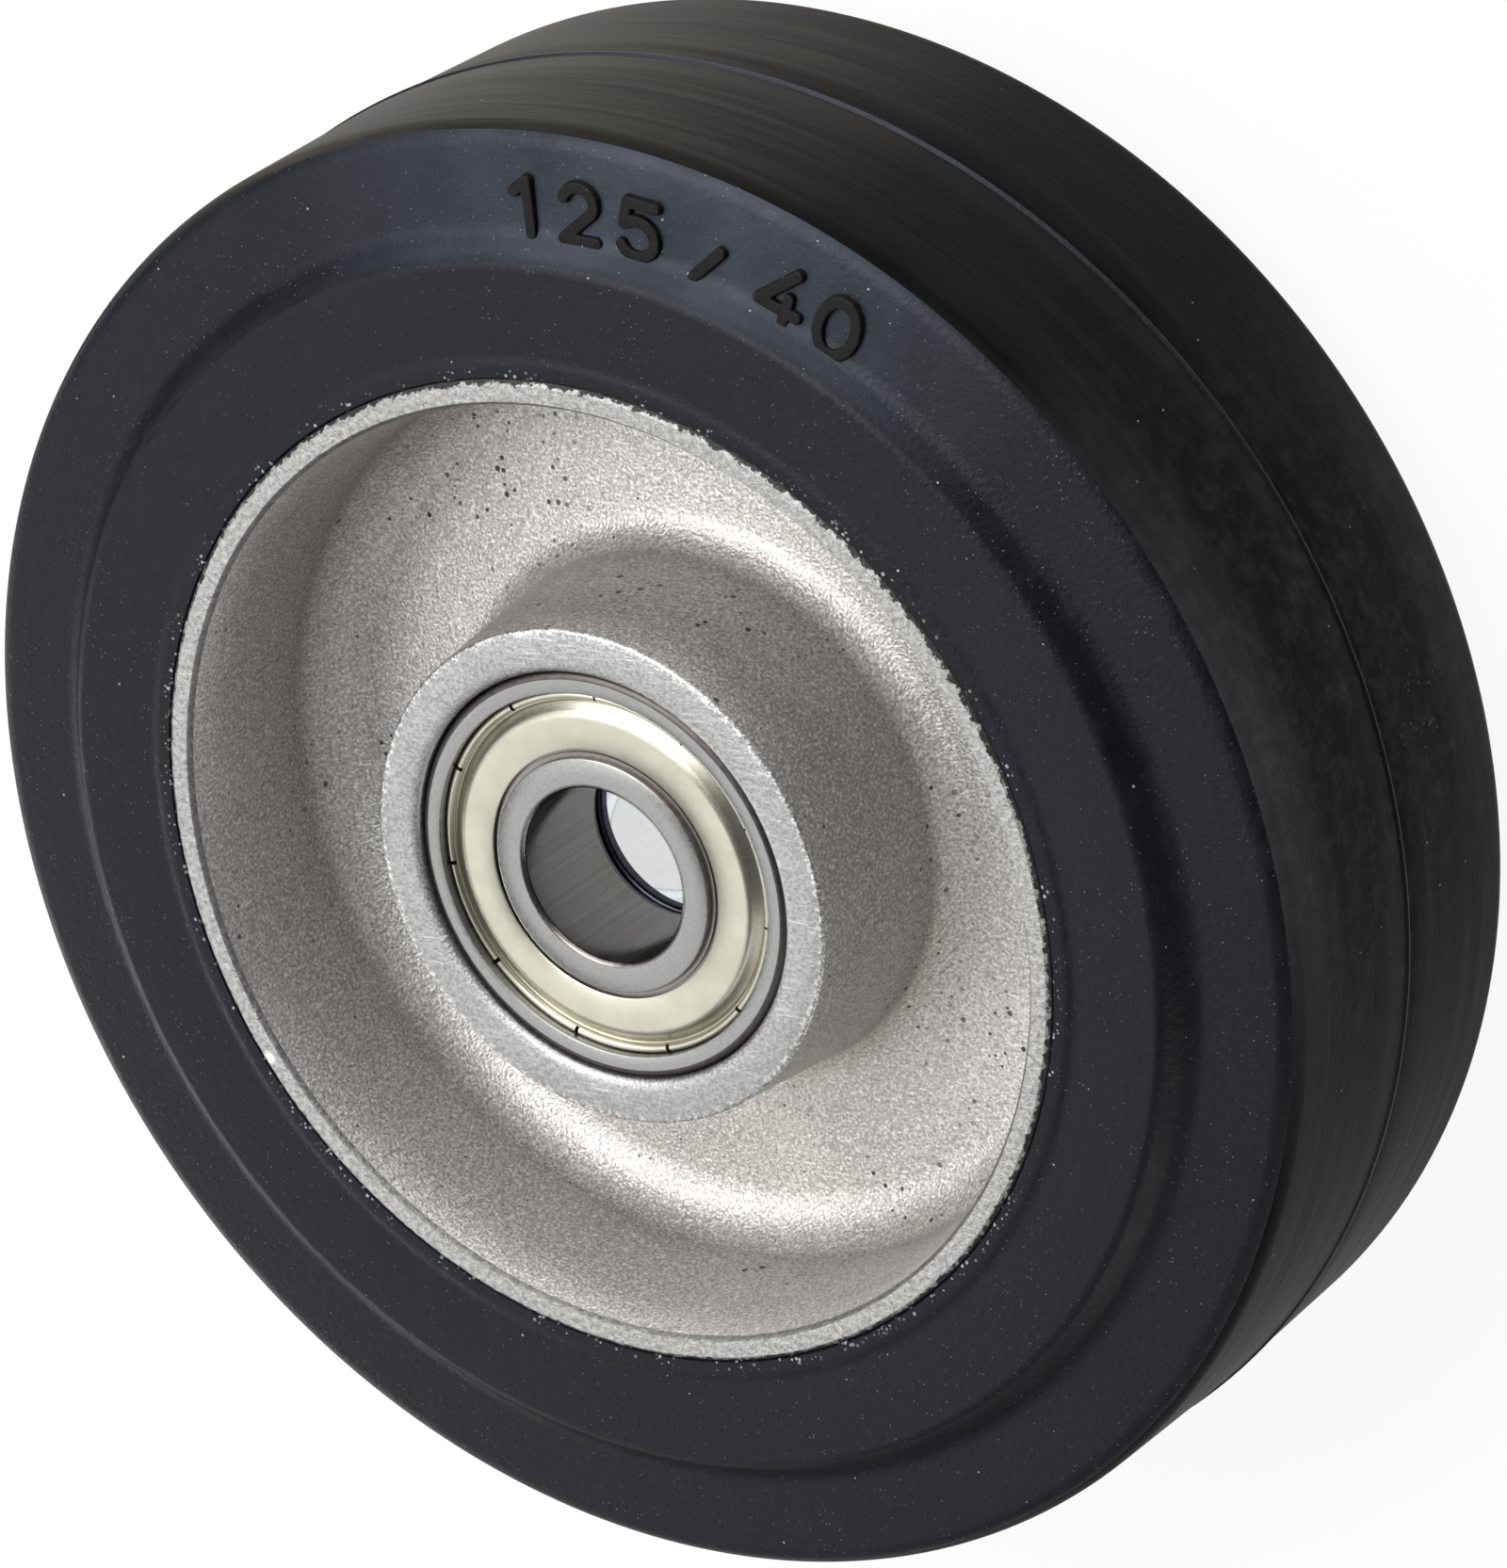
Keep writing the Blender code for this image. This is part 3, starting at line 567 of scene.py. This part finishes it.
def makeSign(name, azimuth, far):
    bpy.ops.object.select_all(action="DESELECT")
    bpy.ops.mesh.primitive_cone_add(vertices=14, radius1=mark["pen"] / 2, depth=mark["rise"])
    sign = bpy.context.object
    bpy.ops.object.mode_set(mode="EDIT")
    bpy.ops.mesh.select_all(action="SELECT")
    bpy.ops.mesh.delete(type="VERT")
    for stroke in strokesOf(name):
        stampStroke(stroke)
    bpy.ops.object.mode_set(mode="OBJECT")
    melt = sign.modifiers.new("melt", "REMESH")
    melt.mode = "VOXEL"
    melt.voxel_size = mark["grain"]
    soften = sign.modifiers.new("soften", "SMOOTH")
    soften.factor = 0.5
    soften.iterations = 4
    for modifier in ("melt", "soften"):
        bpy.ops.object.modifier_apply(modifier=modifier)
    turn = math.radians(azimuth)
    sign.location = (far * math.cos(turn), far * math.sin(turn), tyre["halfTread"] - 0.02 * mm)
    sign.rotation_euler.z = turn - math.pi / 2
    bpy.ops.object.transform_apply(location=True, rotation=True, scale=True)
    return sign


def makeTyre():
    signs = [makeSign(name, *place) for name, place in mark["signs"].items()]
    piece = turnProfile("tyre", tyreProfile(), tyre["steps"])
    crest = tyre["radius"] - tyre["ridge"] - tyre["draft"]
    piece.data.materials.append(rubber)
    for sign in signs:
        sign.data.materials.append(markRubber)
        sign.select_set(True)
    piece.select_set(True)
    bpy.context.view_layer.objects.active = piece
    bpy.ops.object.join()
    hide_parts("rubber_tyre")
    marked = [face.index for face in piece.data.polygons if face.material_index > 0]
    finishPiece(piece, "wheel", [rubber, treadRubber, markRubber], 40)
    paintFaces(piece, 1, lambda far, height: far > crest - 0.5 * mm)
    ridge = tyre["radius"] - tyre["ridge"] + 0.01 * mm
    paintFaces(piece, 0, lambda far, height: far > ridge)
    for index in marked:
        piece.data.polygons[index].material_index = 2


# Cast wheel centre
centre = {
    "radius": 42.0 * mm,
    "halfWidth": 20.0 * mm,
    "lip": 2.1 * mm,
    "wallDraft": 0.9 * mm,
    "webAtHub": 2.7 * mm,
    "webAtRim": 2.0 * mm,
    "fillet": 4.6 * mm,
    "hubFillet": 3.1 * mm,
    "hubRadius": 21.2 * mm,
    "halfHub": 19.65 * mm,
    "hubCorner": 0.3 * mm,
    "hubDraft": 1.3 * mm,
    "seatRadius": 17.5 * mm,
    "seatFloor": 7.85 * mm,
    # mm out from the seat and down from the hub's face, round the mouth of the seat
    "mouth": ((0, 0.5), (0.06, 0.34), (0.2, 0.2), (0.42, 0.1), (0.7, 0.03), (0.95, 0)),
    "landRadius": 14.9 * mm,
    "steps": 256,
}


def makeCentre():
    outer, half = centre["radius"], centre["halfWidth"]
    lipInner = outer - centre["lip"]
    lip = [(lipInner + 0.35 * mm, half - 0.05 * mm), (lipInner + 1.0 * mm, half)]
    lip += [(outer - 0.4 * mm, half), (outer - 0.05 * mm, half - 0.25 * mm)]
    hubFoot = centre["hubRadius"] + centre["hubDraft"]
    rimFoot = lipInner - centre["wallDraft"]
    fillet, hubFillet = centre["fillet"], centre["hubFillet"]
    seat, seatFloor = centre["seatRadius"], centre["seatFloor"]
    hub, face, corner = centre["hubRadius"], centre["halfHub"], centre["hubCorner"]
    inside = [(centre["landRadius"], seatFloor), (seat, seatFloor)]
    inside += [(seat + far * mm, face - drop * mm) for far, drop in centre["mouth"]]
    inside += arcOf((hub - corner, face - corner), corner, 90, 5, 4)
    inside += arcOf((hubFoot + hubFillet, centre["webAtHub"] + hubFillet), hubFillet, 180, 268, 12)
    inside += arcOf((rimFoot - fillet, centre["webAtRim"] + fillet), fillet, 272, 360, 14)
    inside.append((lipInner, half - 0.5 * mm))
    outline = lip + sinkTo(lip) + sinkTo(inside) + inside
    piece = turnProfile("castCentre", outline, centre["steps"])
    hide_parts("wheel_centre")
    finishPiece(piece, "wheel", [blastedCasting, turnedFace, roughLip], 35)
    hubEdge, lipEdge = hub + 0.05 * mm, lipInner - 0.01 * mm
    paintFaces(piece, 1, lambda far, height: far < hubEdge and height > seatFloor - mm)
    paintFaces(piece, 2, lambda far, height: far > lipEdge and height > half - 0.45 * mm)


# Ball bearings
bearing = {
    "bore": 7.5 * mm,
    "outside": 17.42 * mm,
    "halfWidth": 5.5 * mm,
    "corner": 0.42 * mm,
    "outerCorner": 0.64 * mm,
    "leadIn": 0.95 * mm,        # of the bore, on the side where the sleeve stands
    "innerLand": 10.85 * mm,
    "innerStep": 10.1 * mm,
    "stepDepth": 0.8 * mm,
    "ledge": (10.42 * mm, 0.56 * mm),  # edge and depth of the ledge above the step
    "outerLand": 14.3 * mm,
    "shieldSeat": 15.6 * mm,
    "seatDepth": 1.9 * mm,
    "pitch": 12.5 * mm,
    "grooveRadius": 3.28 * mm,
    "centreHeight": 13.65 * mm,
    "steps": 132,
}


def atBearing(points, side):
    # moves a profile drawn round the bearing's middle out to its place, and turns it over for the rear
    moved = [(far, side * (height + bearing["centreHeight"])) for far, height in points]
    return moved if side > 0 else moved[::-1]


def makeOuterRing(side, prefix):
    half, corner = bearing["halfWidth"], bearing["outerCorner"]
    seatFloor = half - bearing["seatDepth"]
    front = [(bearing["outerLand"], seatFloor), (bearing["shieldSeat"], seatFloor)]
    front += arcOf((bearing["shieldSeat"] + 0.15 * mm, half - 0.15 * mm), 0.15 * mm, 180, 90, 3)
    front += arcOf((bearing["outside"] - corner, half - corner), corner, 90, 0, 8)
    reach = math.degrees(math.acos((bearing["outerLand"] - bearing["pitch"]) / bearing["grooveRadius"]))
    groove = arcOf((bearing["pitch"], 0.0), bearing["grooveRadius"], -reach, reach, 14)
    outline = atBearing(front + sinkTo(front) + groove, side)
    piece = turnProfile(f"{prefix}OuterRing", outline, bearing["steps"])
    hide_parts(f"{prefix}_outer_ring")
    finishPiece(piece, "wheel", [groundSteel, gapShadeSteel])
    # painted shade: the corner in the gap at the seat gets the dark steel
    paintFaces(piece, 1, lambda far, height: far > bearing["outside"] - corner)


def makeInnerRing(side, prefix):
    half, corner, bore = bearing["halfWidth"], bearing["corner"], bearing["bore"]
    outer = arcOf((bearing["innerStep"] - 0.2 * mm, half - 0.2 * mm), 0.2 * mm, 90, 0, 3)
    ledge, drop = bearing["ledge"]
    outer += [(bearing["innerStep"], half - drop), (ledge, half - drop), (ledge, half - bearing["stepDepth"])]
    outer.append((bearing["innerLand"], half - bearing["stepDepth"]))
    front = arcOf((bore + corner, half - corner), corner, 180, 90, 6) + outer
    lead = bearing["leadIn"] if side > 0 else 0.08 * mm
    rear = arcOf((bore + lead, half - lead), lead, 180, 90, 8) + outer
    reach = math.degrees(math.acos((bearing["pitch"] - bearing["innerLand"]) / bearing["grooveRadius"]))
    groove = arcOf((bearing["pitch"], 0.0), bearing["grooveRadius"], 180 - reach, 180 + reach, 14)
    outline = atBearing(front + groove + sinkTo(rear), side)
    piece = turnProfile(f"{prefix}InnerRing", outline, bearing["steps"])
    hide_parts(f"{prefix}_inner_ring")
    finishes = [groundSteel, boreSteel if side > 0 else rearBoreSteel, shadedLandSteel, boreShadeSteel]
    finishPiece(piece, "inner_rings", finishes)
    paintFaces(piece, 1, lambda far, height: far < bore + corner)
    # painted shade: the step under the shield gets the darkened steel
    landEdge, landHeight = bearing["innerStep"] - 0.05 * mm, bearing["centreHeight"] + half - 0.1 * mm
    paintFaces(piece, 2, lambda far, height: far > landEdge and height < landHeight)
    if side > 0:
        # painted shade: the lead-in deep in the bore gets the dark steel
        leadHeight = bearing["centreHeight"] - half + lead
        paintFaces(piece, 3, lambda far, height: far < bore + lead and height < leadHeight)


shield = {
    "inner": 10.75 * mm,
    "flatEnd": 13.3 * mm,
    "bend": 1.0 * mm,           # radius of the bend at the end of the flat
    "slope": 40,                # degrees down, beyond the bend
    "slopeEnd": 14.6 * mm,
    "hollow": 0.25 * mm,        # radius at the bottom of the groove
    "curl": 0.22 * mm,          # radius of the rim's curl
    "curlAt": 15.2 * mm,
    "curlDrop": 0.45 * mm,
    "setBack": 0.35 * mm,
    "sheet": 0.3 * mm,
    "notches": (118, 150.6, 183.8, 217.4, 250.9, 284.7, 317.5),
    "tightNotches": (349.6, 21.7, 53.8, 85.9),
    "notchWidth": 0.34 * mm,
    "tightWidth": 0.2 * mm,
}


def shieldPath():
    # middle of the sheet: the flat, the slope down into the groove, and the curl that is rolled into the ring
    flat = bearing["halfWidth"] - shield["setBack"] - shield["sheet"] / 2
    slope, bend, hollow = shield["slope"], shield["bend"], shield["hollow"]
    path = [(shield["inner"], flat - 0.06 * mm), (shield["inner"] + 0.12 * mm, flat)]
    path += arcOf((shield["flatEnd"], flat - bend), bend, 90, 90 - slope, 9)
    far, height = path[-1]
    height -= (shield["slopeEnd"] - far) * math.tan(math.radians(slope))
    lean = math.radians(slope)
    middle = (shield["slopeEnd"] + hollow * math.sin(lean), height + hollow * math.cos(lean))
    path += arcOf(middle, hollow, 270 - slope, 350, 8)
    path += arcOf((shield["curlAt"], flat - shield["curlDrop"]), shield["curl"], 175, 20, 8)
    return path


def makeShield(side, prefix):
    path = shieldPath()
    half = shield["sheet"] / 2
    upper, lower = [], []
    for place, (far, height) in enumerate(path):
        before, after = path[max(place - 1, 0)], path[min(place + 1, len(path) - 1)]
        along = Vector((after[0] - before[0], after[1] - before[1])).normalized()
        upper.append((far - along.y * half, height + along.x * half))
        lower.append((far + along.y * half, height - along.x * half))
    piece = turnProfile(f"{prefix}Shield", atBearing(upper + lower[::-1], side), bearing["steps"])
    bpy.ops.object.select_all(action="DESELECT")
    top = side * (bearing["centreHeight"] + bearing["halfWidth"])
    reach = shield["curlAt"] + 0.05 * mm
    for number, azimuth in enumerate(shield["notches"] + shield["tightNotches"]):
        turn = math.radians(azimuth)
        place = (reach * math.cos(turn), reach * math.sin(turn), top)
        wide = shield["notchWidth"] if azimuth in shield["notches"] else shield["tightWidth"]
        size = (0.75 * mm, wide, 3 * mm)
        bpy.ops.mesh.primitive_cube_add(size=1.0, location=place, rotation=(0, 0, turn), scale=size)
        if number == 0:
            cutter = bpy.context.object
            bpy.ops.object.transform_apply(location=True, rotation=True, scale=True)
            bpy.ops.object.mode_set(mode="EDIT")
    bpy.ops.object.mode_set(mode="OBJECT")
    notches = piece.modifiers.new("notches", "BOOLEAN")
    notches.object = cutter
    bpy.ops.object.select_all(action="DESELECT")
    bpy.context.view_layer.objects.active = piece
    bpy.ops.object.modifier_apply(modifier="notches")
    bpy.data.objects.remove(cutter, do_unlink=True)
    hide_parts(f"{prefix}_outboard_shield")
    finishPiece(piece, "wheel", [shieldPlate])


sleeve = {
    "bore": 7.54 * mm,
    "outside": 9.55 * mm,
    "half": 8.12 * mm,
    "corner": 0.4 * mm,
    "shadedEnd": 1.0 * mm,          # length of the end of the bore that is painted dark as shade
    "steps": 96,
}


def makeSleeve():
    corner, half, bore = sleeve["corner"], sleeve["half"], sleeve["bore"]
    front = arcOf((bore + corner, half - corner), corner, 180, 90, 5)
    front += arcOf((sleeve["outside"] - corner, half - corner), corner, 90, 0, 5)
    rear = [(bore, 0.05 * mm - half), (bore + 0.05 * mm, -half), (sleeve["outside"] - corner, -half)]
    rear += [(sleeve["outside"], corner - half)]
    edge = half - sleeve["shadedEnd"]
    piece = turnProfile("spacerSleeve", [(bore, edge)] + front + rear[::-1], sleeve["steps"])
    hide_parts("spacer_sleeve")
    finishPiece(piece, "inner_rings", [brightPlate, boreShadeSteel])
    # painted shade: the sleeve's front end in the bore gets the dark steel
    paintFaces(piece, 1, lambda far, height: far < bore + corner and height > edge)


makeTyre()
makeCentre()
say("tyre and centre")
for side, prefix in ((1, "front"), (-1, "rear")):
    makeOuterRing(side, prefix)
    makeInnerRing(side, prefix)
    makeShield(side, prefix)
makeSleeve()
say("bearings")

# The solids that stay get their finishes
keptFinishes = {"_ball_": ballSteel, "_cage_": cageSteel, "_inboard_shield": shieldPlate}
for name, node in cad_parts.items():
    for part, finish in keptFinishes.items():
        if part in name:
            for slot in node.material_slots:
                slot.material = finish


# Floor
sweep = {
    "size": 6.0,
    "paper": "#eeeeee",
    "whiteShare": 0.92,         # how much of it the camera and mirrors see as plain white
}


def makeFloor():
    bpy.ops.object.select_all(action="DESELECT")
    bpy.ops.mesh.primitive_plane_add(size=sweep["size"], location=(0, 0, cadBox[0][2]))
    floor = bpy.context.object
    floor.name = "floor"
    material, tree, shader, place = newMaterial("white paper sweep")
    feed(tree, shader, colour=fromHex(sweep["paper"]), roughness=0.9)
    rays = addNode(tree, "ShaderNodeLightPath")
    seen = calculate(tree, "MAXIMUM", rays.outputs["Is Camera Ray"], rays.outputs["Is Glossy Ray"])
    seen = calculate(tree, "MAXIMUM", seen, rays.outputs["Is Transmission Ray"])
    glow = addNode(tree, "ShaderNodeEmission", None, {"Color": (1, 1, 1, 1), "Strength": 1.0})
    share = calculate(tree, "MULTIPLY", seen, sweep["whiteShare"])
    mixed = addNode(tree, "ShaderNodeMixShader", {0: share, 1: shader.outputs[0], 2: glow.outputs[0]})
    tree.links.new(mixed.outputs[0], tree.nodes["Material Output"].inputs["Surface"])
    floor.data.materials.append(material)


makeFloor()

# Soft panels: azimuth and height in degrees where each stands, seen from the wheel, and how bright its
# face is
panels = {
    "keyHigh": {"azimuth": 108, "height": 50, "width": 0.8, "depth": 0.68, "glow": 4.8},
    "keyLeft": {"azimuth": 150, "height": 48, "width": 0.32, "depth": 0.5, "glow": 1.3},
    "keyRight": {"azimuth": 60, "height": 48, "width": 0.32, "depth": 0.5, "glow": 0.35},
    "overhead": {"azimuth": 140, "height": 69, "width": 0.6, "depth": 0.3, "glow": 4.0},
    "lowTop": {"azimuth": 90, "height": 8, "width": 1.5, "depth": 0.25, "glow": 4.2},
    "lowFar": {"azimuth": 210, "height": 8, "width": 0.48, "depth": 0.25, "glow": 4.6},
    "middleFar": {"azimuth": 240, "height": 24, "width": 0.44, "depth": 0.25, "glow": 0.5},
    "far": {"azimuth": 225, "height": 50, "width": 0.67, "depth": 0.5, "glow": 1.55},
    "farLeft": {"azimuth": 180, "height": 48, "width": 0.32, "depth": 0.5, "glow": 1.4},
    "farRight": {"azimuth": 290, "height": 40, "width": 0.7, "depth": 0.25, "glow": 1.4},
    "lowRight": {"azimuth": 305, "height": 8, "width": 0.7, "depth": 0.2, "glow": 3.0},
}
panelDistance = 0.9


def placePanel(name, panel):
    data = bpy.data.lights.new(name, "AREA")
    data.shape = "RECTANGLE"
    data.size = panel["width"]
    data.size_y = panel["depth"]
    data.energy = math.pi * panel["width"] * panel["depth"] * panel["glow"]
    light = bpy.data.objects.new(name, data)
    azimuth, height = math.radians(panel["azimuth"]), math.radians(panel["height"])
    flat = math.cos(height) * panelDistance
    light.location = (flat * math.cos(azimuth), flat * math.sin(azimuth), math.sin(height) * panelDistance)
    light.rotation_euler = light.location.to_track_quat("Z", "Y").to_euler()
    bpy.context.scene.collection.objects.link(light)


for name, panel in panels.items():
    placePanel(name, panel)

room = {"colour": "#f4f5f7", "strength": 0.12}
world = bpy.data.worlds.new("studio")
world.use_nodes = True
world.node_tree.nodes["Background"].inputs["Color"].default_value = fromHex(room["colour"])
world.node_tree.nodes["Background"].inputs["Strength"].default_value = room["strength"]
bpy.context.scene.world = world
say("stage")
